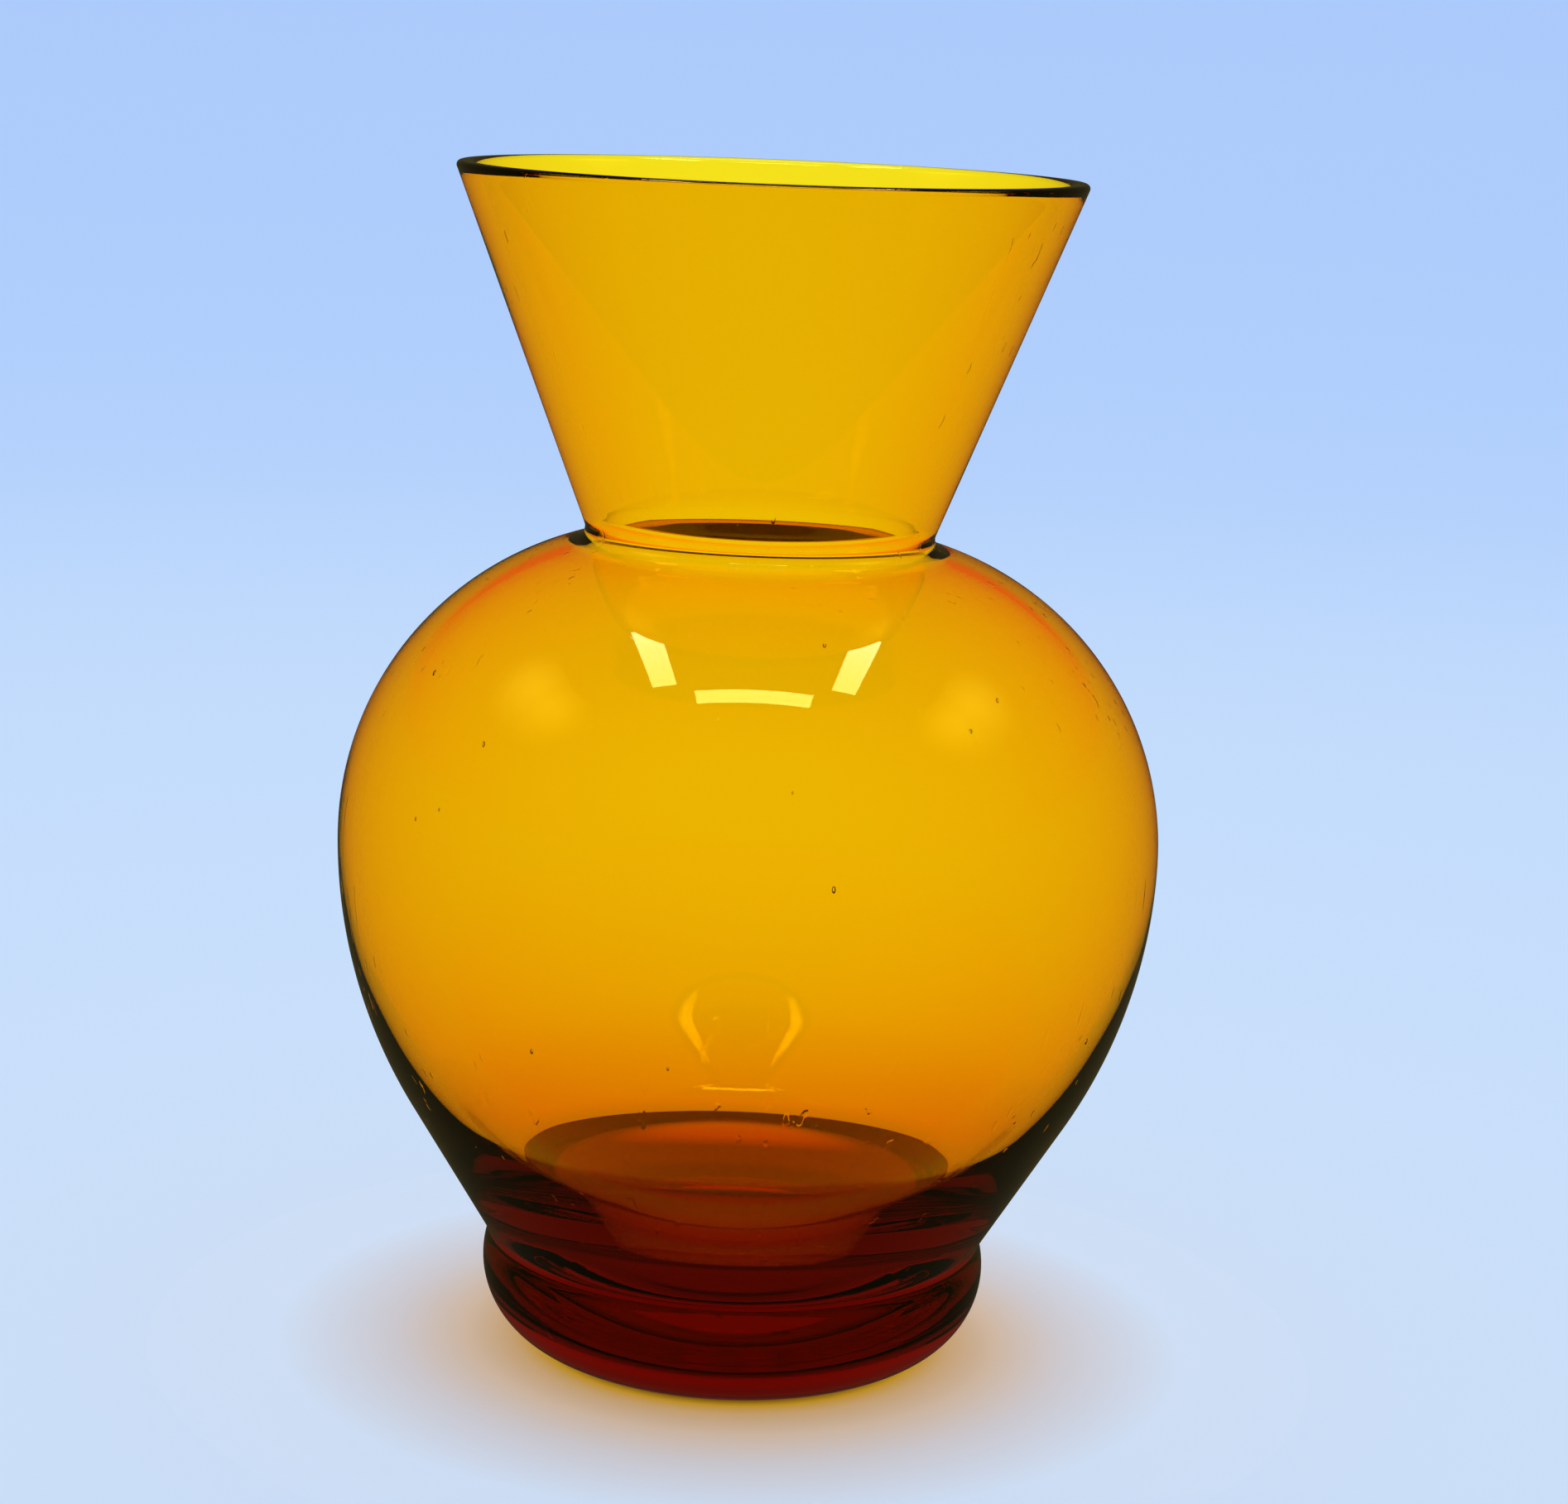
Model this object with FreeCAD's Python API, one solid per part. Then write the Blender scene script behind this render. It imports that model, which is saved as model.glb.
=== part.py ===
import FreeCAD, Part
import math
import os

# A one-piece glass bud vase: a flared mouth on a narrow neck, a round belly that
# tapers to a waist, and a short rounded foot. Millimetres, +Z up, the axis is Z,
# and the foot rests on z = 0. An outline point is (radius, height).

# Driving dimensions, outside
HEIGHT = 160.0
MOUTH_RADIUS = 41.25
NECK_RADIUS = 22.75          # where the mouth's cone meets the shoulder, before the fillet
BELLY_RADIUS = 55.25
BELLY_HEIGHT = 70.75         # height of the widest circle
SHOULDER_ARC = 41.75         # profile radius above the widest circle
LOWER_ARC = 69.5             # profile radius below the widest circle
TAPER_ANGLE = 31.0           # degrees from vertical, where the lower arc runs out straight
FOOT_RADIUS = 34.5
FOOT_ROUND = 11.5            # profile radius of the foot
REST_WIDTH = 3.0             # width of the flat ring that the vase stands on
HOLLOW_ROUND = 1.5           # profile radius inside the flat ring
PUSH_UP = 0.8                # rise of the hollow under the foot, on the axis
OUTER_LIP_ROUND = 0.6        # profile radius at the lip's outer edge
NECK_FILLET = 1.6
WAIST_FILLET = 1.5

# Driving dimensions, inside
WALL = 2.4                   # thickness of the mouth, the shoulder and the upper belly
NECK_INNER_FILLET = 5.2
LOWER_INNER_ARC = 60.0       # profile radius of the cavity below its widest circle
INNER_TAPER_ANGLE = 39.0     # degrees from vertical, where that arc runs out straight
FLOOR_HEIGHT = 13.8          # height of the cavity's floor on the axis
FLOOR_DISH_RADIUS = 60.0     # profile radius of the slightly dished floor
FLOOR_FILLET = 9.0

# Worked out from them
INNER_LIP_ROUND = WALL / 2   # profile radius at the lip's inner edge
SHOULDER_CENTRE = (BELLY_RADIUS - SHOULDER_ARC, BELLY_HEIGHT)
LOWER_CENTRE = (BELLY_RADIUS - LOWER_ARC, BELLY_HEIGHT)
FOOT_CENTRE = (FOOT_RADIUS - FOOT_ROUND, FOOT_ROUND)
REST_INNER_RADIUS = FOOT_CENTRE[0] - REST_WIDTH
LIP_CENTRE = (MOUTH_RADIUS - OUTER_LIP_ROUND, HEIGHT - OUTER_LIP_ROUND)
LOWER_INNER_CENTRE = (BELLY_RADIUS - WALL - LOWER_INNER_ARC, BELLY_HEIGHT)
DISH_CENTRE = (0.0, FLOOR_HEIGHT + FLOOR_DISH_RADIUS)

EDGE_TOLERANCE = 0.05        # for finding a circular edge by its radius and height


def vector(point):
    return FreeCAD.Vector(point[0], 0.0, point[1])


def line(start, end):
    return Part.makeLine(vector(start), vector(end))


def arc(start, middle, end):
    return Part.Arc(vector(start), vector(middle), vector(end)).toShape()


def on_circle(centre, radius, angle):
    return (centre[0] + radius * math.cos(angle), centre[1] + radius * math.sin(angle))


def arc_on_circle(centre, radius, first, last):
    points = [on_circle(centre, radius, angle) for angle in (first, (first + last) / 2, last)]
    return arc(*points)


def height_on_circle(centre, radius, at_radius):
    return centre[1] + math.sqrt(radius ** 2 - (at_radius - centre[0]) ** 2)


def downward(angle):
    """The direction that runs down and towards the axis, angle radians from vertical."""
    return (-math.sin(angle), -math.cos(angle))


def meet_circle(start, direction, centre, radius, side):
    """Where a ray meets a circle: side -1 is the first crossing, 1 is the second."""
    offset = (start[0] - centre[0], start[1] - centre[1])
    along = offset[0] * direction[0] + offset[1] * direction[1]
    apart = offset[0] ** 2 + offset[1] ** 2 - radius ** 2
    travel = -along + side * math.sqrt(along ** 2 - apart)
    return (start[0] + travel * direction[0], start[1] + travel * direction[1])


def neck_corner():
    """The sharp corner outside the neck, where the cone meets the shoulder."""
    return (NECK_RADIUS, height_on_circle(SHOULDER_CENTRE, SHOULDER_ARC, NECK_RADIUS))


def cone_angle():
    """The cone's angle from vertical: from the neck corner, tangent to the lip's round."""
    corner = neck_corner()
    across = LIP_CENTRE[0] - corner[0]
    up = LIP_CENTRE[1] - corner[1]
    return math.atan2(across, up) + math.asin(OUTER_LIP_ROUND / math.hypot(across, up))


def waist_corner():
    """The sharp corner at the waist, where the straight taper meets the foot's round."""
    taper = math.radians(TAPER_ANGLE)
    start = on_circle(LOWER_CENTRE, LOWER_ARC, -taper)
    return meet_circle(start, downward(taper), FOOT_CENTRE, FOOT_ROUND, -1)


def foot_outline():
    """From the axis under the foot, over the flat ring and round the foot to the waist."""
    rise = HOLLOW_ROUND - PUSH_UP
    reach = REST_INNER_RADIUS
    hollow_radius = (reach ** 2 + rise ** 2 - HOLLOW_ROUND ** 2) / (2 * PUSH_UP)
    hollow_centre = (0.0, PUSH_UP - hollow_radius)
    round_centre = (reach, HOLLOW_ROUND)
    tangent = math.atan2(HOLLOW_ROUND - hollow_centre[1], reach)
    down = -math.pi / 2
    waist = waist_corner()
    waist_angle = math.atan2(waist[1] - FOOT_CENTRE[1], waist[0] - FOOT_CENTRE[0])
    return [
        arc_on_circle(hollow_centre, hollow_radius, math.pi / 2, tangent),
        arc_on_circle(round_centre, HOLLOW_ROUND, tangent - math.pi, down),
        line((REST_INNER_RADIUS, 0.0), (FOOT_CENTRE[0], 0.0)),
        arc_on_circle(FOOT_CENTRE, FOOT_ROUND, down, waist_angle),
    ]


def body_outline():
    """From the waist, up the taper and round the belly to the neck corner."""
    taper = math.radians(TAPER_ANGLE)
    taper_top = on_circle(LOWER_CENTRE, LOWER_ARC, -taper)
    corner = neck_corner()
    neck_angle = math.atan2(corner[1] - SHOULDER_CENTRE[1], corner[0] - SHOULDER_CENTRE[0])
    return [
        line(waist_corner(), taper_top),
        arc_on_circle(LOWER_CENTRE, LOWER_ARC, -taper, 0.0),
        arc_on_circle(SHOULDER_CENTRE, SHOULDER_ARC, 0.0, neck_angle),
    ]


def inner_lip_centre():
    """The lip's inner round touches the level top and the cone's inner face."""
    slope = cone_angle()
    outside = on_circle(LIP_CENTRE, OUTER_LIP_ROUND, -slope)
    height = HEIGHT - INNER_LIP_ROUND
    inset = WALL - INNER_LIP_ROUND + (outside[1] - height) * math.sin(slope)
    return (outside[0] - inset / math.cos(slope), height)


def lip_inside():
    """Where the lip's inner round runs out into the cone's inner face."""
    return on_circle(inner_lip_centre(), INNER_LIP_ROUND, math.pi - cone_angle())


def inner_neck_corner():
    """The sharp corner inside the neck: the inner cone line meets the inner shoulder arc."""
    slope = downward(cone_angle())
    return meet_circle(lip_inside(), slope, SHOULDER_CENTRE, SHOULDER_ARC - WALL, -1)


def mouth_outline():
    """From the outer neck corner, up the cone, over the lip and down inside to the neck."""
    slope = cone_angle()
    inner_lip = inner_lip_centre()
    lip_outside = on_circle(LIP_CENTRE, OUTER_LIP_ROUND, -slope)
    up = math.pi / 2
    return [
        line(neck_corner(), lip_outside),
        arc_on_circle(LIP_CENTRE, OUTER_LIP_ROUND, -slope, up),
        line((LIP_CENTRE[0], HEIGHT), (inner_lip[0], HEIGHT)),
        arc_on_circle(inner_lip, INNER_LIP_ROUND, up, math.pi - slope),
        line(lip_inside(), inner_neck_corner()),
    ]


def inner_taper_top():
    """Where the cavity's lower arc runs out into the straight inner taper."""
    return on_circle(LOWER_INNER_CENTRE, LOWER_INNER_ARC, -math.radians(INNER_TAPER_ANGLE))


def floor_corner():
    """The sharp corner where the inner taper meets the dished floor."""
    slope = downward(math.radians(INNER_TAPER_ANGLE))
    return meet_circle(inner_taper_top(), slope, DISH_CENTRE, FLOOR_DISH_RADIUS, 1)


def cavity_outline():
    """From the inner neck corner, down the wall and over the dished floor to the axis."""
    neck = inner_neck_corner()
    neck_angle = math.atan2(neck[1] - SHOULDER_CENTRE[1], neck[0] - SHOULDER_CENTRE[0])
    corner = floor_corner()
    corner_angle = math.atan2(corner[1] - DISH_CENTRE[1], corner[0])
    taper = math.radians(INNER_TAPER_ANGLE)
    return [
        arc_on_circle(SHOULDER_CENTRE, SHOULDER_ARC - WALL, neck_angle, 0.0),
        arc_on_circle(LOWER_INNER_CENTRE, LOWER_INNER_ARC, 0.0, -taper),
        line(inner_taper_top(), corner),
        arc_on_circle(DISH_CENTRE, FLOOR_DISH_RADIUS, corner_angle, -math.pi / 2),
        line((0.0, FLOOR_HEIGHT), (0.0, PUSH_UP)),
    ]


def circular_edge(shape, point):
    """The edge of a turned shape that passes round the axis through (radius, height)."""
    for edge in shape.Edges:
        if edge.Degenerated or not isinstance(edge.Curve, Part.Circle):
            continue
        curve = edge.Curve
        if math.hypot(curve.Radius - point[0], curve.Center.z - point[1]) < EDGE_TOLERANCE:
            return edge
    raise ValueError("no circular edge at %r" % (point,))


def glass_vase():
    outline = foot_outline() + body_outline() + mouth_outline() + cavity_outline()
    face = Part.Face(Part.Wire(outline))
    axis = FreeCAD.Vector(0.0, 0.0, 1.0)
    shape = face.revolve(FreeCAD.Vector(0.0, 0.0, 0.0), axis, 360.0)
    fillets = (
        (waist_corner(), WAIST_FILLET),
        (neck_corner(), NECK_FILLET),
        (inner_neck_corner(), NECK_INNER_FILLET),
        (floor_corner(), FLOOR_FILLET),
    )
    for corner, radius in fillets:
        shape = shape.makeFillet(radius, [circular_edge(shape, corner)])
    return shape


os.makedirs("parts", exist_ok=True)
vase = glass_vase()
vase.exportStep("parts/glass_vase.step")
print("glass_vase valid", vase.isValid(), "solids", len(vase.Solids))
print("volume ml", round(vase.Volume / 1000.0, 1), "box", vase.BoundBox)
print("waist", waist_corner(), "neck", neck_corner())
print("inner neck", inner_neck_corner(), "floor", floor_corner())
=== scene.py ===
import math
import random

import bmesh
import bpy
from mathutils import Matrix, Vector


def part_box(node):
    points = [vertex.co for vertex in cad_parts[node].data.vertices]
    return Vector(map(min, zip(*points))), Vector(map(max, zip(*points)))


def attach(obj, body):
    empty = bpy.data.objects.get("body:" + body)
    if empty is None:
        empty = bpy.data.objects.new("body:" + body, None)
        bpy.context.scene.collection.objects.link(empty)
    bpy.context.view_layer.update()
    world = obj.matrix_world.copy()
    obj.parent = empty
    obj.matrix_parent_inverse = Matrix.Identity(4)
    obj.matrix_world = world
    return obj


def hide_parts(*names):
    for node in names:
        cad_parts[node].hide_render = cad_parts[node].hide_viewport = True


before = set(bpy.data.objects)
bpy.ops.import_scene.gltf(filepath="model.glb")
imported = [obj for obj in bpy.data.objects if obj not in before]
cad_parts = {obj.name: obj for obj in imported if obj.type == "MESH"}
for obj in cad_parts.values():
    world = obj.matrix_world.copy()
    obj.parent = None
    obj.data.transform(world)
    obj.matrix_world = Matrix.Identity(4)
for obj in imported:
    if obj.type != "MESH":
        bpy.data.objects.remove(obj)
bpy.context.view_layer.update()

NODE = "glass_vase"
MM = 0.001
TURN = 2.0 * math.pi
DOWN = -math.pi / 2.0

# ---------------------------------------------------------------------------
# The vase's outline. An outline point is (radius, height) in metres. The height
# and the widest radius come from the CAD node's box; the rest repeats part.py.
# ---------------------------------------------------------------------------
box_low, box_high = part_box(NODE)
FOOT_PLANE = box_low[2]
HEIGHT = box_high[2] - box_low[2]
BELLY_RADIUS = min(-box_low[0], -box_low[1], box_high[0], box_high[1])
MOUTH_RADIUS = 41.25 * MM
NECK_RADIUS = 22.75 * MM
BELLY_HEIGHT = 70.75 * MM
SHOULDER_ARC = 41.75 * MM
LOWER_ARC = 69.5 * MM
TAPER = math.radians(31.0)
FOOT_RADIUS = 34.5 * MM
FOOT_ROUND = 11.5 * MM
REST_WIDTH = 3.0 * MM
HOLLOW_ROUND = 1.5 * MM
PUSH_UP = 0.8 * MM
NECK_FILLET = 1.6 * MM
WAIST_FILLET = 1.5 * MM
WALL = 2.4 * MM
NECK_INNER_FILLET = 5.2 * MM
LOWER_INNER_ARC = 60.0 * MM
INNER_TAPER = math.radians(39.0)
FLOOR_HEIGHT = 13.8 * MM
FLOOR_DISH = 60.0 * MM
FLOOR_FILLET = 9.0 * MM

OUTER_LIP_ROUND = 0.6 * MM
INNER_LIP_ROUND = WALL / 2.0
SHOULDER_CENTRE = (BELLY_RADIUS - SHOULDER_ARC, BELLY_HEIGHT)
LOWER_CENTRE = (BELLY_RADIUS - LOWER_ARC, BELLY_HEIGHT)
INNER_CENTRE = (BELLY_RADIUS - WALL - LOWER_INNER_ARC, BELLY_HEIGHT)
FOOT_CENTRE = (FOOT_RADIUS - FOOT_ROUND, FOOT_ROUND)
LIP_CENTRE = (MOUTH_RADIUS - OUTER_LIP_ROUND, HEIGHT - OUTER_LIP_ROUND)
DISH_CENTRE = (0.0, FLOOR_HEIGHT + FLOOR_DISH)

SEGMENTS = 256               # steps round the axis
FEWEST_ARC_STEPS = 4
FEWEST_LINE_STEPS = 2
COARSE_STEP = 1.3 * MM       # outline spacing on the large arcs and straights
ROUND_STEP = 0.7 * MM        # on the foot and the floor's corner
FINE_STEP = 0.35 * MM        # on the fillets
INNER_LIP_STEP = FINE_STEP / 2.0
OUTER_LIP_STEP = FINE_STEP / 3.0
SAME_POINT = FINE_STEP / 10.0                # nearer points than this are one point


def on_circle(centre, radius, angle):
    return (centre[0] + radius * math.cos(angle), centre[1] + radius * math.sin(angle))


def angle_at(centre, point):
    return math.atan2(point[1] - centre[1], point[0] - centre[0])


def arc(centre, radius, first, last, step):
    """Points from one angle to another, the short way round."""
    sweep = (last - first + math.pi) % TURN - math.pi
    count = max(FEWEST_ARC_STEPS, math.ceil(abs(sweep) * radius / step))
    return [on_circle(centre, radius, first + sweep * i / count) for i in range(count + 1)]


def straight(start, end, step):
    count = max(FEWEST_LINE_STEPS, math.ceil(math.dist(start, end) / step))
    return [(start[0] + (end[0] - start[0]) * i / count,
             start[1] + (end[1] - start[1]) * i / count) for i in range(count + 1)]


def downward(angle):
    """The direction that runs down and towards the axis, angle from vertical."""
    return (-math.sin(angle), -math.cos(angle))


def outward(angle):
    """The normal, away from the axis, of a wall that runs downward(angle)."""
    return (math.cos(angle), -math.sin(angle))


def shifted(point, direction, distance):
    return (point[0] + direction[0] * distance, point[1] + direction[1] * distance)


def meet_circle(start, direction, centre, radius, side):
    """Where a ray meets a circle: side -1 is the first crossing, 1 is the second."""
    offset = (start[0] - centre[0], start[1] - centre[1])
    along = offset[0] * direction[0] + offset[1] * direction[1]
    apart = offset[0] ** 2 + offset[1] ** 2 - radius ** 2
    return shifted(start, direction, -along + side * math.sqrt(along ** 2 - apart))


def neck_corner():
    rise = math.sqrt(SHOULDER_ARC ** 2 - (NECK_RADIUS - SHOULDER_CENTRE[0]) ** 2)
    return (NECK_RADIUS, BELLY_HEIGHT + rise)


def cone_slope():
    """The cone's angle from vertical: from the neck corner, tangent to the lip's round."""
    corner = neck_corner()
    across, up = LIP_CENTRE[0] - corner[0], LIP_CENTRE[1] - corner[1]
    return math.atan2(across, up) + math.asin(OUTER_LIP_ROUND / math.hypot(across, up))


def hollow_points():
    """Under the foot: the shallow hollow, its round edge and the flat resting ring."""
    reach = FOOT_CENTRE[0] - REST_WIDTH
    rise = HOLLOW_ROUND - PUSH_UP
    radius = (reach ** 2 + rise ** 2 - HOLLOW_ROUND ** 2) / (2.0 * PUSH_UP)
    centre = (0.0, PUSH_UP - radius)
    tangent = math.atan2(HOLLOW_ROUND - centre[1], reach)
    points = arc(centre, radius, math.pi / 2.0, tangent, COARSE_STEP)
    points += arc((reach, HOLLOW_ROUND), HOLLOW_ROUND, tangent - math.pi, DOWN, FINE_STEP)
    return points + straight((reach, 0.0), (FOOT_CENTRE[0], 0.0), COARSE_STEP)


def foot_and_body_points():
    """The foot's round, the waist fillet, the taper and the belly up to the neck fillet."""
    taper_top = on_circle(LOWER_CENTRE, LOWER_ARC, -TAPER)
    offset = shifted(taper_top, outward(TAPER), WAIST_FILLET)
    waist = meet_circle(offset, downward(TAPER), FOOT_CENTRE, FOOT_ROUND + WAIST_FILLET, -1)
    waist_end = shifted(waist, outward(TAPER), -WAIST_FILLET)
    neck = neck_fillet_centre()
    points = arc(FOOT_CENTRE, FOOT_ROUND, DOWN, angle_at(FOOT_CENTRE, waist), ROUND_STEP)
    points += arc(waist, WAIST_FILLET, angle_at(waist, FOOT_CENTRE),
                  angle_at(waist, waist_end), FINE_STEP)
    points += straight(waist_end, taper_top, COARSE_STEP)
    points += arc(LOWER_CENTRE, LOWER_ARC, -TAPER, 0.0, COARSE_STEP)
    points += arc(SHOULDER_CENTRE, SHOULDER_ARC, 0.0, angle_at(SHOULDER_CENTRE, neck),
                  COARSE_STEP)
    return points


def neck_fillet_centre():
    slope = cone_slope()
    offset = shifted(LIP_CENTRE, outward(slope), OUTER_LIP_ROUND + NECK_FILLET)
    return meet_circle(offset, downward(slope), SHOULDER_CENTRE, SHOULDER_ARC + NECK_FILLET, -1)


def inner_lip_centre():
    """The lip's inner round touches the level top and the cone's inner face."""
    slope = cone_slope()
    outside = shifted(LIP_CENTRE, outward(slope), OUTER_LIP_ROUND)
    height = HEIGHT - INNER_LIP_ROUND
    inset = WALL - INNER_LIP_ROUND + (outside[1] - height) * math.sin(slope)
    return (outside[0] - inset / math.cos(slope), height)


def mouth_points():
    """The neck fillet, the cone outside, the lip, the cone inside and the inner neck fillet."""
    slope = cone_slope()
    neck = neck_fillet_centre()
    cone_foot = shifted(neck, outward(slope), -NECK_FILLET)
    lip_outside = shifted(LIP_CENTRE, outward(slope), OUTER_LIP_ROUND)
    inner_lip = inner_lip_centre()
    lip_inside = shifted(inner_lip, outward(slope), -INNER_LIP_ROUND)
    inner_arc = SHOULDER_ARC - WALL
    offset = shifted(lip_inside, outward(slope), NECK_INNER_FILLET)
    inner = meet_circle(offset, downward(slope), SHOULDER_CENTRE,
                        inner_arc + NECK_INNER_FILLET, -1)
    inner_foot = shifted(inner, outward(slope), -NECK_INNER_FILLET)
    points = arc(neck, NECK_FILLET, angle_at(neck, SHOULDER_CENTRE),
                 angle_at(neck, cone_foot), FINE_STEP)
    points += straight(cone_foot, lip_outside, COARSE_STEP)
    points += arc(LIP_CENTRE, OUTER_LIP_ROUND, -slope, math.pi / 2.0, OUTER_LIP_STEP)
    points += arc(inner_lip, INNER_LIP_ROUND, math.pi / 2.0, math.pi - slope, INNER_LIP_STEP)
    points += straight(lip_inside, inner_foot, COARSE_STEP)
    points += arc(inner, NECK_INNER_FILLET, angle_at(inner, inner_foot),
                  angle_at(inner, SHOULDER_CENTRE), FINE_STEP)
    points += arc(SHOULDER_CENTRE, inner_arc, angle_at(SHOULDER_CENTRE, inner), 0.0,
                  COARSE_STEP)
    return points


def cavity_points():
    """The cavity's lower arc, the inner taper, the floor's round corner and the floor."""
    slope = outward(INNER_TAPER)
    top = on_circle(INNER_CENTRE, LOWER_INNER_ARC, -INNER_TAPER)
    offset = shifted(top, slope, -FLOOR_FILLET)
    corner = meet_circle(offset, downward(INNER_TAPER), DISH_CENTRE,
                         FLOOR_DISH - FLOOR_FILLET, 1)
    corner_top = shifted(corner, slope, FLOOR_FILLET)
    dish_angle = angle_at(DISH_CENTRE, corner)
    points = arc(INNER_CENTRE, LOWER_INNER_ARC, 0.0, -INNER_TAPER, COARSE_STEP)
    points += straight(top, corner_top, COARSE_STEP)
    points += arc(corner, FLOOR_FILLET, -INNER_TAPER, dish_angle, ROUND_STEP)
    points += arc(DISH_CENTRE, FLOOR_DISH, dish_angle, DOWN, COARSE_STEP)
    return points


def outline():
    """The whole closed outline from the axis under the foot to the axis on the floor."""
    points = hollow_points() + foot_and_body_points() + mouth_points() + cavity_points()
    kept = [points[0]]
    for point in points[1:]:
        if math.dist(point, kept[-1]) > SAME_POINT:
            kept.append(point)
    return kept


# ---------------------------------------------------------------------------
# Meshes
# ---------------------------------------------------------------------------
AXIS_TOLERANCE = 0.001 * MM


def ring(bm, radius, height, segments):
    if radius < AXIS_TOLERANCE:
        return [bm.verts.new((0.0, 0.0, height))]
    steps = [TURN * i / segments for i in range(segments)]
    return [bm.verts.new((radius * math.cos(a), radius * math.sin(a), height)) for a in steps]


def skin(bm, lower, upper):
    """Faces between two neighbouring rings; a ring of one vertex is a pole."""
    count = max(len(lower), len(upper))
    for i in range(count):
        j = (i + 1) % count
        if len(lower) == 1:
            bm.faces.new((lower[0], upper[j], upper[i]))
        elif len(upper) == 1:
            bm.faces.new((lower[i], lower[j], upper[0]))
        else:
            bm.faces.new((lower[i], lower[j], upper[j], upper[i]))


def turned(bm, points, segments):
    rings = [ring(bm, radius, height, segments) for radius, height in points]
    for lower, upper in zip(rings, rings[1:]):
        skin(bm, lower, upper)


def as_object(name, bm):
    mesh = bpy.data.meshes.new(name)
    bm.to_mesh(mesh)
    bm.free()
    mesh.shade_smooth()
    obj = bpy.data.objects.new(name, mesh)
    bpy.context.scene.collection.objects.link(obj)
    return obj


# Small air seeds that are trapped in the wall, as pressed and blown glass has.
SEED_COUNT = 16
SEED_SMALLEST = 0.12 * MM
SEED_LARGEST = 0.34 * MM
SEED_STRETCH = 1.7           # length over width, up and down the wall
SEED_RINGS = 8
SEED_SEGMENTS = 12
SEED_RANDOM = 41
SEED_HEIGHTS = (45.0 * MM, 100.0 * MM)
SEED_DEPTH = 0.5             # share of the wall
SEED_FLATTEST = 0.5          # least slope counted, so that a bubble stays in the wall


def seed_centre(height, turn):
    """A point inside the wall of the belly or shoulder at that height."""
    above = height >= BELLY_HEIGHT
    centre = SHOULDER_CENTRE if above else LOWER_CENTRE
    radius = SHOULDER_ARC if above else LOWER_ARC
    out = centre[0] + math.sqrt(radius ** 2 - (height - centre[1]) ** 2)
    slope = (out - centre[0]) / radius
    inside = out - WALL * SEED_DEPTH / max(slope, SEED_FLATTEST)
    return Vector((inside * math.cos(turn), inside * math.sin(turn), height))


def seed_mesh():
    """Closed bubbles whose faces look inwards, so that they are holes in the glass."""
    rng = random.Random(SEED_RANDOM)
    bm = bmesh.new()
    for _ in range(SEED_COUNT):
        centre = seed_centre(rng.uniform(*SEED_HEIGHTS), rng.uniform(0.0, TURN))
        radius = rng.uniform(SEED_SMALLEST, SEED_LARGEST)
        place = Matrix.Translation(centre) @ Matrix.Diagonal((1.0, 1.0, SEED_STRETCH, 1.0))
        bmesh.ops.create_uvsphere(bm, u_segments=SEED_SEGMENTS, v_segments=SEED_RINGS,
                                  radius=radius, matrix=place)
    bmesh.ops.reverse_faces(bm, faces=bm.faces)
    mesh = bpy.data.meshes.new("seeds")
    bm.to_mesh(mesh)
    bm.free()
    return mesh


def make_vase():
    bm = bmesh.new()
    turned(bm, outline(), SEGMENTS)
    bmesh.ops.recalc_face_normals(bm, faces=bm.faces)
    seeds = seed_mesh()
    bm.from_mesh(seeds)
    bpy.data.meshes.remove(seeds)
    vase = as_object("vase_body", bm)
    vase.location.z = FOOT_PLANE
    return vase


# ---------------------------------------------------------------------------
# The glass
# ---------------------------------------------------------------------------
GLASS_IOR = 1.52
GLASS_MIRROR_TINT = (1.0, 0.8, 0.12, 1.0)     # of reflections seen square on
GLASS_ABSORPTION = (34.0, 200.0, 1500.0)     # red, green, blue, per metre
SMEAR_SCALE = 26.0           # patches per metre, of slightly hazier surface
SMEAR_DETAIL = 4.0
SMEAR_ROUGHNESS = (0.0, 0.045)
SMEAR_RANGE = (0.56, 0.78)
SCRATCH_SCALE = 420.0
SCRATCH_DETAIL = 2.0
SCRATCH_STRETCH = (1.0, 1.0, 0.12)
SCRATCH_RANGE = (0.70, 0.74)
RIPPLE_SCALE = 42.0
RIPPLE_DETAIL = 1.0
RIPPLE_HEIGHT = 0.05 * MM
SCRATCH_HEIGHT = 0.012 * MM
TINT_SCALE = 9.0
TINT_DETAIL = 3.0
TINT_COLOURS = ((0.975, 0.970, 0.955, 1.0), (1.0, 1.0, 1.0, 1.0))
TINT_RANGE = (0.30, 0.62)


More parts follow.
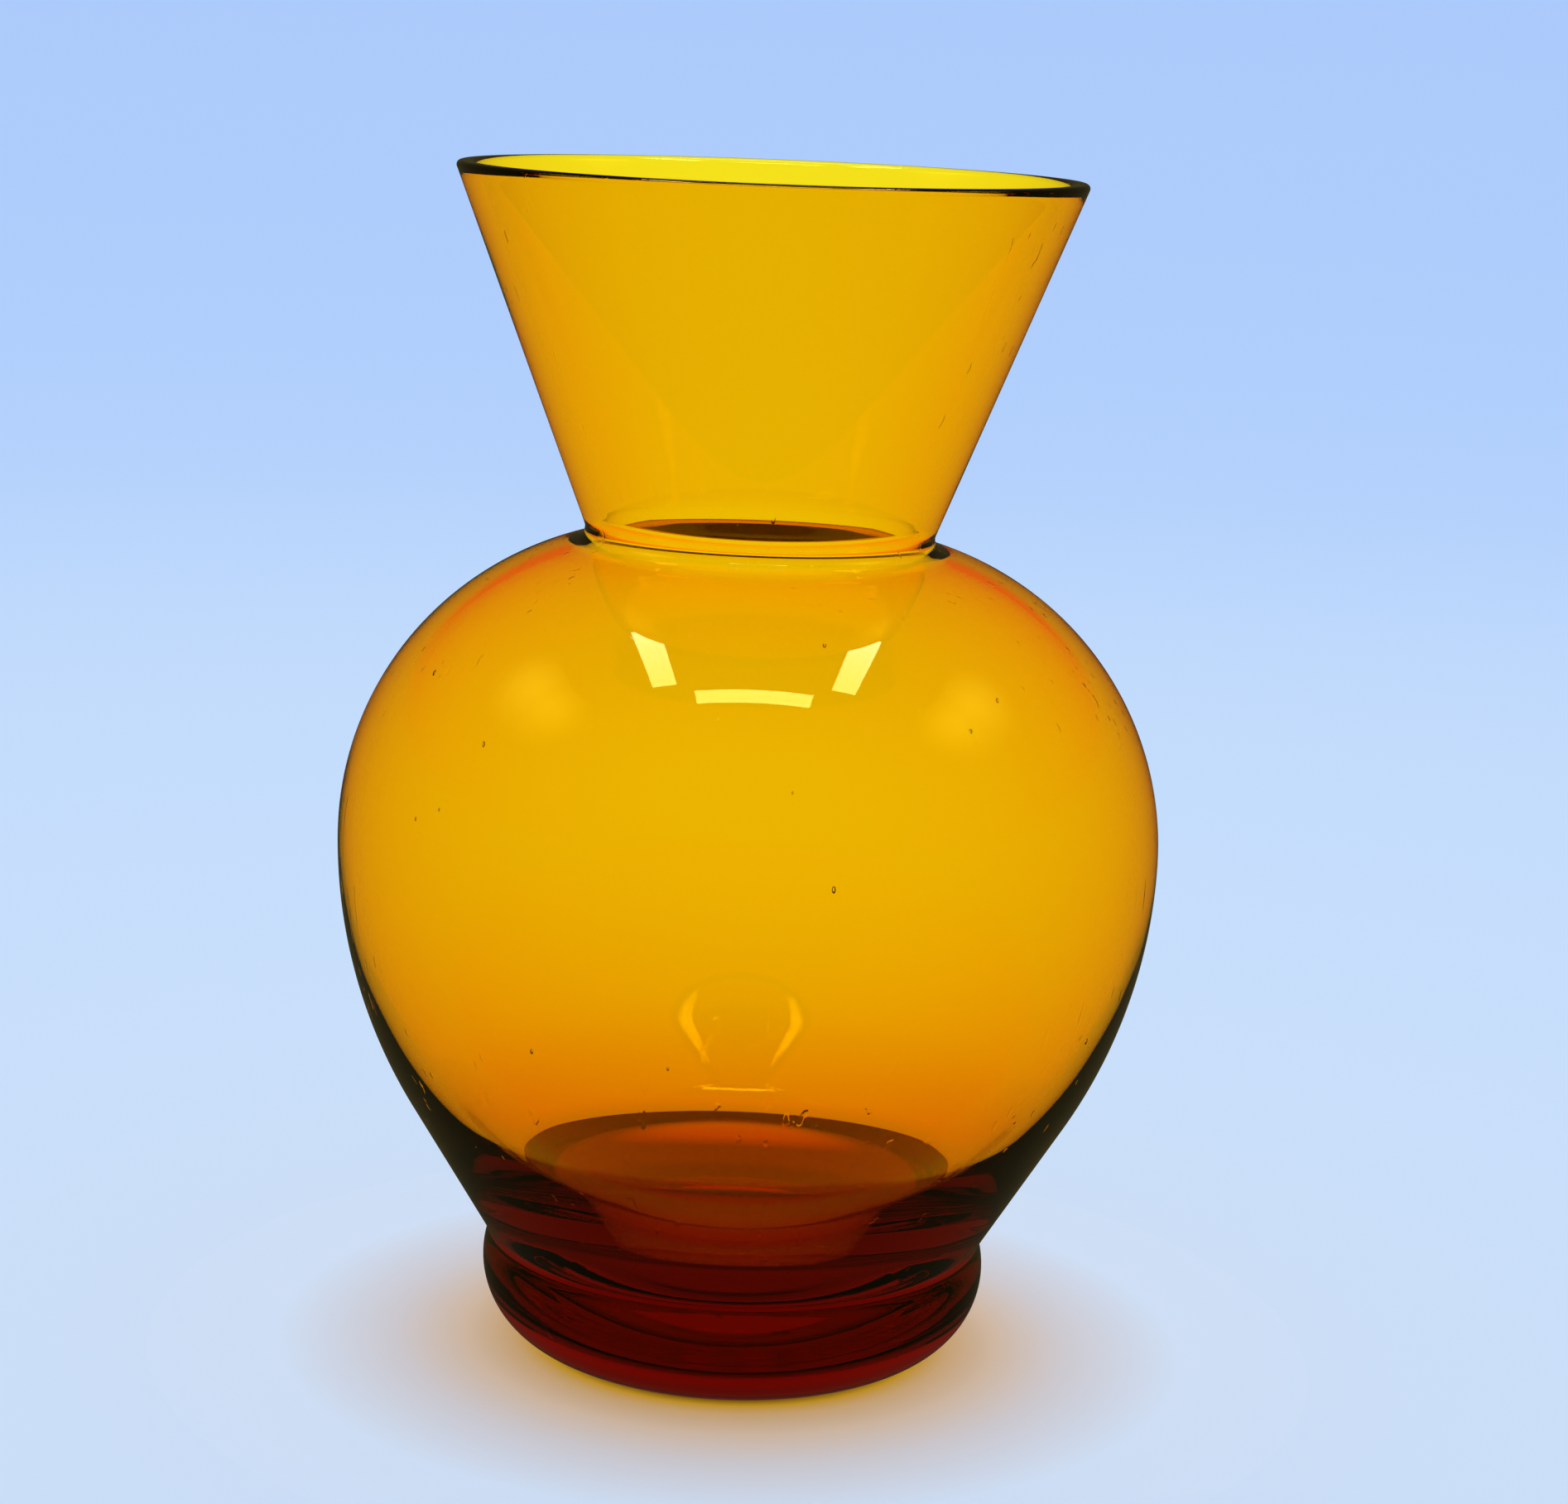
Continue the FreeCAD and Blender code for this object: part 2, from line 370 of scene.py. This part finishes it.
class Nodes:
    """A short way to add and join nodes in one tree."""

    def __init__(self, tree):
        self.tree = tree
        tree.nodes.clear()

    def add(self, kind, **settings):
        node = self.tree.nodes.new(kind)
        for name, value in settings.items():
            setattr(node, name, value)
        return node

    def join(self, source, target):
        self.tree.links.new(source, target)

    def math(self, operation, first, second):
        node = self.add("ShaderNodeMath", operation=operation)
        for socket, value in zip(node.inputs, (first, second)):
            if isinstance(value, (int, float)):
                socket.default_value = value
            else:
                self.join(value, socket)
        return node.outputs["Value"]

    def map_range(self, value, source, target):
        node = self.add("ShaderNodeMapRange")
        node.interpolation_type = "SMOOTHSTEP"
        self.join(value, node.inputs["Value"])
        for name, number in zip(("From Min", "From Max", "To Min", "To Max"), source + target):
            node.inputs[name].default_value = number
        return node.outputs["Result"]

    def noise(self, vector, scale, detail):
        node = self.add("ShaderNodeTexNoise")
        self.join(vector, node.inputs["Vector"])
        node.inputs["Scale"].default_value = scale
        node.inputs["Detail"].default_value = detail
        return node.outputs["Fac"]

    def mix(self, factor, first, second):
        node = self.add("ShaderNodeMixShader")
        self.join(factor, node.inputs["Fac"])
        self.join(first, node.inputs[1])
        self.join(second, node.inputs[2])
        return node.outputs["Shader"]

    def bump(self, height, distance, below=None):
        node = self.add("ShaderNodeBump")
        node.inputs["Distance"].default_value = distance
        self.join(height, node.inputs["Height"])
        if below is not None:
            self.join(below, node.inputs["Normal"])
        return node.outputs["Normal"]


def glass_tint(nodes, place):
    """Faint cloudy differences in the glass, as from handling marks and dried water."""
    ramp = nodes.add("ShaderNodeValToRGB")
    for element, position, colour in zip(ramp.color_ramp.elements, TINT_RANGE, TINT_COLOURS):
        element.position = position
        element.color = colour
    nodes.join(nodes.noise(place, TINT_SCALE, TINT_DETAIL), ramp.inputs["Fac"])
    return ramp.outputs["Color"]


def glass_surface(nodes, place):
    """Roughness from smears and fine scratches; bump from the scratches and soft ripples."""
    stretch = nodes.add("ShaderNodeMapping")
    stretch.inputs["Scale"].default_value = SCRATCH_STRETCH
    nodes.join(place, stretch.inputs["Vector"])
    lines = nodes.noise(stretch.outputs["Vector"], SCRATCH_SCALE, SCRATCH_DETAIL)
    patches = nodes.noise(place, SMEAR_SCALE, SMEAR_DETAIL)
    scratch = nodes.map_range(lines, SCRATCH_RANGE, (0.0, 1.0))
    smear = nodes.map_range(patches, SMEAR_RANGE, (0.0, 1.0))
    worn = nodes.math("MAXIMUM", smear, scratch)
    roughness = nodes.map_range(worn, (0.0, 1.0), SMEAR_ROUGHNESS)
    ripple = nodes.bump(nodes.noise(place, RIPPLE_SCALE, RIPPLE_DETAIL), RIPPLE_HEIGHT)
    return roughness, nodes.bump(scratch, SCRATCH_HEIGHT, ripple)


def amber_glass():
    material = bpy.data.materials.new("amber_glass")
    material.use_nodes = True
    nodes = Nodes(material.node_tree)
    output = nodes.add("ShaderNodeOutputMaterial")
    shader = nodes.add("ShaderNodeBsdfPrincipled")
    shader.inputs["Transmission Weight"].default_value = 1.0
    shader.inputs["IOR"].default_value = GLASS_IOR
    shader.inputs["Specular Tint"].default_value = GLASS_MIRROR_TINT
    place = nodes.add("ShaderNodeTexCoord").outputs["Object"]
    roughness, normal = glass_surface(nodes, place)
    nodes.join(glass_tint(nodes, place), shader.inputs["Base Color"])
    nodes.join(roughness, shader.inputs["Roughness"])
    nodes.join(normal, shader.inputs["Normal"])
    nodes.join(shader.outputs["BSDF"], output.inputs["Surface"])
    absorb = nodes.add("ShaderNodeVolumeAbsorption")
    density = max(GLASS_ABSORPTION)
    absorb.inputs["Density"].default_value = density
    absorb.inputs["Color"].default_value = (*[1.0 - a / density for a in GLASS_ABSORPTION], 1.0)
    nodes.join(absorb.outputs["Volume"], output.inputs["Volume"])
    return material


# ---------------------------------------------------------------------------
# The stage: a round floor that curves up into a wall, alike from every side
# ---------------------------------------------------------------------------
STAGE_DROP = 0.05 * MM       # keeps the floor's face off the resting ring's face
STAGE_FLOOR = 0.9            # radius of the flat part
STAGE_CURVE = 0.6            # radius of the curve between floor and wall
STAGE_TOP = 2.0
STAGE_SEGMENTS = 128
STAGE_CURVE_STEPS = 24
HIGH_THROUGH_GLASS = (1.30, 0.60, 0.12, 1.0)     # what a ray that left the glass upwards sees: an orange painted glow on the high stage and the sky
HIGH_RANGE = (0.25, 0.45)                        # heights where that colour comes in
# The sky in the glass's reflections: a dark warm painted reflection.
SKY_IN_REFLECTION = (0.06, 0.05, 0.02, 1.0)
STAGE_IN_REFLECTION = (      # share of the reach round the foot, colour of the stage in the glass's reflections: a dark warm painted reflection, darkest by the foot
    (0.00, (0.02, 0.02, 0.02)),
    (1.00, (0.06, 0.05, 0.02)),
)
SIDE_GLOW_CENTRE = (1.42, 0.12, 1.55)     # of the right one of two painted soft glows, left and right, that only the glass's reflections see
SIDE_GLOW_RADIUS = 0.62                   # where its glow has faded out
SIDE_GLOW_STRENGTH = 3.0
SIDE_GLOW_COLOUR = (1.0, 0.85, 0.08, 1.0)
SHADOW_AND_GLOW_REACH = 0.08            # radius that the painted shadow and painted glow round the foot, and the painted looks through and in the glass, run out to
FAR_REACH = 1.6
FLOOR_SHADOW_AND_GLOW = (               # share of the reach round the foot, colour: a painted shadow under the foot, a painted yellow line and peach glow of light through the glass round it, then the paper's pale blue
    (0.00, (0.05, 0.02, 0.00)),
    (0.31, (0.10, 0.04, 0.00)),
    (0.34, (0.52, 0.32, 0.02)),
    (0.38, (0.62, 0.43, 0.20)),
    (0.46, (0.70, 0.56, 0.40)),
    (0.58, (0.68, 0.68, 0.68)),
    (0.78, (0.72, 0.86, 0.99)),
)
FAR_PAPER_AND_FALLOFF = (              # share of FAR_REACH, colour: the paper's pale blue, darker and bluer further out as a painted falloff of light
    (0.00, (0.72, 0.86, 0.99)),
    (0.30, (0.66, 0.82, 0.99)),
    (0.60, (0.56, 0.74, 0.99)),
    (0.85, (0.50, 0.68, 0.98)),
    (0.93, (0.36, 0.56, 0.97)),
    (1.00, (0.22, 0.42, 0.85)),
)
UNDER_GLASS = (              # share of the reach round the foot, colour that only rays through the glass see: an amber painted shadow below the foot, a dimmer band, then painted light brighter than the paper
    (0.00, (0.20, 0.12, 0.03)),
    (0.36, (0.20, 0.12, 0.03)),
    (0.40, (0.32, 0.60, 0.20)),
    (0.47, (0.32, 0.60, 0.20)),
    (0.50, (0.90, 1.60, 0.50)),
    (0.62, (0.90, 1.50, 0.50)),
    (0.72, (1.05, 1.33, 0.50)),
)
SELF_LIGHT = 0.62            # how much of the stage's camera colour is its own light


def ramp_of(nodes, fraction, stops):
    ramp = nodes.add("ShaderNodeValToRGB")
    elements = ramp.color_ramp.elements
    while len(elements) < len(stops):
        elements.new(1.0)
    for element, (position, colour) in zip(elements, stops):
        element.position = position
        element.color = (*colour, 1.0)
    nodes.join(fraction, ramp.inputs["Fac"])
    return ramp.outputs["Color"]


def axis_distance(nodes, place):
    """Distance of a stage point from the vase's axis."""
    flat = nodes.add("ShaderNodeVectorMath", operation="MULTIPLY")
    flat.inputs[1].default_value = (1.0, 1.0, 0.0)
    nodes.join(place, flat.inputs[0])
    length = nodes.add("ShaderNodeVectorMath", operation="LENGTH")
    nodes.join(flat.outputs["Vector"], length.inputs[0])
    return length.outputs["Value"]


def emission(nodes, colour):
    node = nodes.add("ShaderNodeEmission")
    if isinstance(colour, tuple):
        node.inputs["Color"].default_value = colour
    else:
        nodes.join(colour, node.inputs["Color"])
    return node.outputs["Emission"]


def by_ray(nodes, seen, through, reflected):
    """One look for rays that left the glass, one for its reflections, one for the rest."""
    path = nodes.add("ShaderNodeLightPath").outputs
    mirrored = nodes.math("MULTIPLY", path["Is Reflection Ray"], path["Is Glossy Ray"])
    mixed = nodes.mix(path["Is Transmission Ray"], seen, through)
    return nodes.mix(mirrored, mixed, reflected)


def side_glows(nodes, place):
    """Strength of the painted soft glow on each side, which only the glass's reflections see.
    """
    mirrored = nodes.add("ShaderNodeVectorMath", operation="ABSOLUTE")
    nodes.join(place, mirrored.inputs[0])
    apart = nodes.add("ShaderNodeVectorMath", operation="DISTANCE")
    nodes.join(mirrored.outputs["Vector"], apart.inputs[0])
    apart.inputs[1].default_value = SIDE_GLOW_CENTRE
    return nodes.map_range(apart.outputs["Value"], (0.0, SIDE_GLOW_RADIUS), (SIDE_GLOW_STRENGTH, 0.0))


def stage_reflection(nodes, place, fraction):
    """What the glass reflects of the stage: a dark warm painted reflection, darkest by the
    foot, and two painted soft glows.
    """
    paper = emission(nodes, ramp_of(nodes, fraction, STAGE_IN_REFLECTION))
    # Two painted soft glows that make painted highlights on the glass.
    glows = nodes.add("ShaderNodeEmission")
    glows.inputs["Color"].default_value = SIDE_GLOW_COLOUR
    nodes.join(side_glows(nodes, place), glows.inputs["Strength"])
    both = nodes.add("ShaderNodeAddShader")
    nodes.join(paper, both.inputs[0])
    nodes.join(glows.outputs["Emission"], both.inputs[1])
    return both.outputs["Shader"]


def stage_through_glass(nodes, place, fraction):
    """What shows through the glass: painted light brighter than the paper, a painted shadow
    below the foot, an orange painted glow high up.
    """
    split = nodes.add("ShaderNodeSeparateXYZ")
    nodes.join(place, split.inputs["Vector"])
    low = emission(nodes, ramp_of(nodes, fraction, UNDER_GLASS))
    return nodes.mix(nodes.map_range(split.outputs["Z"], HIGH_RANGE, (0.0, 1.0)),
                     low, emission(nodes, HIGH_THROUGH_GLASS))


def stage_material():
    material = bpy.data.materials.new("stage_paper")
    material.use_nodes = True
    nodes = Nodes(material.node_tree)
    output = nodes.add("ShaderNodeOutputMaterial")
    place = nodes.add("ShaderNodeNewGeometry").outputs["Position"]
    distance = axis_distance(nodes, place)
    by_foot = nodes.math("DIVIDE", distance, SHADOW_AND_GLOW_REACH)
    # The floor by the foot: painted shadow and painted glow of light through the glass.
    near = ramp_of(nodes, by_foot, FLOOR_SHADOW_AND_GLOW)
    # Further out: the paper's pale blue with a painted falloff of light.
    far = ramp_of(nodes, nodes.math("DIVIDE", distance, FAR_REACH), FAR_PAPER_AND_FALLOFF)
    blend = nodes.add("ShaderNodeMix", data_type="RGBA")
    nodes.join(nodes.math("GREATER_THAN", distance, SHADOW_AND_GLOW_REACH), blend.inputs["Factor"])
    nodes.join(near, blend.inputs["A"])
    nodes.join(far, blend.inputs["B"])
    colour = blend.outputs["Result"]
    diffuse = nodes.add("ShaderNodeBsdfDiffuse")
    nodes.join(colour, diffuse.inputs["Color"])
    own = nodes.add("ShaderNodeMixShader")
    own.inputs["Fac"].default_value = SELF_LIGHT
    nodes.join(diffuse.outputs["BSDF"], own.inputs[1])
    nodes.join(emission(nodes, colour), own.inputs[2])
    shader = by_ray(nodes, own.outputs["Shader"], stage_through_glass(nodes, place, by_foot),
                    stage_reflection(nodes, place, by_foot))
    nodes.join(shader, output.inputs["Surface"])
    return material


def make_stage():
    steps = [math.pi / 2.0 * i / STAGE_CURVE_STEPS for i in range(STAGE_CURVE_STEPS + 1)]
    points = [(0.0, 0.0)]
    points += [(STAGE_FLOOR + STAGE_CURVE * math.sin(a), STAGE_CURVE * (1.0 - math.cos(a)))
               for a in steps]
    points.append((STAGE_FLOOR + STAGE_CURVE, STAGE_TOP))
    bm = bmesh.new()
    turned(bm, points, STAGE_SEGMENTS)
    floor = as_object("stage_floor", bm)
    floor.location.z = FOOT_PLANE - STAGE_DROP
    floor.data.materials.append(stage_material())


# ---------------------------------------------------------------------------
# Light: an even sky, which shows through the glass as an orange painted glow and in its
# reflections as a dark painted sheet, and a square of four strip lights overhead that only the
# glass reflects
# ---------------------------------------------------------------------------
SKY_STRENGTH = 1.0
SKY_COLOUR = (1.0, 1.0, 1.0, 1.0)
STRIP_HEIGHT = 1.0
STRIP_OFFSET = 0.325         # from the axis to the middle of each strip
STRIP_WIDTH = 0.095
STRIP_LENGTH = 0.44
STRIP_SPECULAR_POWER = 1.7   # watts
STRIPS = (("strip_left", math.pi, 1.0), ("strip_right", 0.0, 1.0),
          ("strip_front", DOWN, 1.0), ("strip_back", -DOWN, 0.35))


def sky():
    world = bpy.data.worlds.new("studio")
    bpy.context.scene.world = world
    world.use_nodes = True
    nodes = Nodes(world.node_tree)

    def background(colour, strength=1.0):
        node = nodes.add("ShaderNodeBackground")
        node.inputs["Color"].default_value = colour
        node.inputs["Strength"].default_value = strength
        return node.outputs["Background"]

    output = nodes.add("ShaderNodeOutputWorld")
    # The sky: white to the camera, an orange painted glow through the glass, a dark painted
    # reflection in it.
    shader = by_ray(nodes, background(SKY_COLOUR, SKY_STRENGTH),
                    background(HIGH_THROUGH_GLASS), background(SKY_IN_REFLECTION))
    nodes.join(shader, output.inputs["Surface"])


def strip_light(name, direction, share):
    """A strip that shows only in the glass's reflections, so it casts no shadow."""
    light = bpy.data.lights.new(name, "AREA")
    light.shape = "RECTANGLE"
    light.size = STRIP_WIDTH
    light.size_y = STRIP_LENGTH
    light.energy = STRIP_SPECULAR_POWER * share
    light.use_shadow = False
    obj = bpy.data.objects.new(name, light)
    bpy.context.scene.collection.objects.link(obj)
    obj.location = (STRIP_OFFSET * math.cos(direction), STRIP_OFFSET * math.sin(direction),
                    STRIP_HEIGHT)
    obj.rotation_euler.z = direction
    obj.visible_diffuse = False
    obj.visible_transmission = False
    obj.visible_camera = False


# ---------------------------------------------------------------------------
# Camera, at the photo's viewing angle, in front of the vase and a little above
# ---------------------------------------------------------------------------
CAMERA_DISTANCE = 0.470
CAMERA_HEIGHT = 0.1785
CAMERA_DOWN = math.radians(11.52)
CAMERA_SIDE = math.radians(0.53)
CAMERA_ROLL = math.radians(2.3)
CAMERA_LENS = 81.7
CAMERA_SENSOR = 36.0


def make_camera():
    data = bpy.data.cameras.new("camera")
    data.lens = CAMERA_LENS
    data.sensor_width = CAMERA_SENSOR
    camera = bpy.data.objects.new("camera", data)
    bpy.context.scene.collection.objects.link(camera)
    forward = Vector((math.sin(CAMERA_SIDE) * math.cos(CAMERA_DOWN),
                      math.cos(CAMERA_SIDE) * math.cos(CAMERA_DOWN), -math.sin(CAMERA_DOWN)))
    right = Vector((math.cos(CAMERA_SIDE), -math.sin(CAMERA_SIDE), 0.0))
    up = right.cross(forward)
    turned_right = math.cos(CAMERA_ROLL) * right + math.sin(CAMERA_ROLL) * up
    turned_up = math.cos(CAMERA_ROLL) * up - math.sin(CAMERA_ROLL) * right
    pose = Matrix((turned_right, turned_up, -forward)).transposed().to_4x4()
    pose.translation = Vector((0.0, -CAMERA_DISTANCE, CAMERA_HEIGHT))
    camera.matrix_world = pose
    bpy.context.scene.camera = camera


# Glass needs many bounces: a ray crosses four walls and runs round inside the thick foot.
PATH_BOUNCES = 32
GLOSSY_BOUNCES = 16


def set_look():
    scene = bpy.context.scene
    scene.view_settings.view_transform = "Standard"
    scene.cycles.max_bounces = PATH_BOUNCES
    scene.cycles.transmission_bounces = PATH_BOUNCES
    scene.cycles.glossy_bounces = GLOSSY_BOUNCES


vase = make_vase()
vase.data.materials.append(amber_glass())
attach(vase, "root")
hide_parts(NODE)
make_stage()
sky()
for strip in STRIPS:
    strip_light(*strip)
make_camera()
set_look()
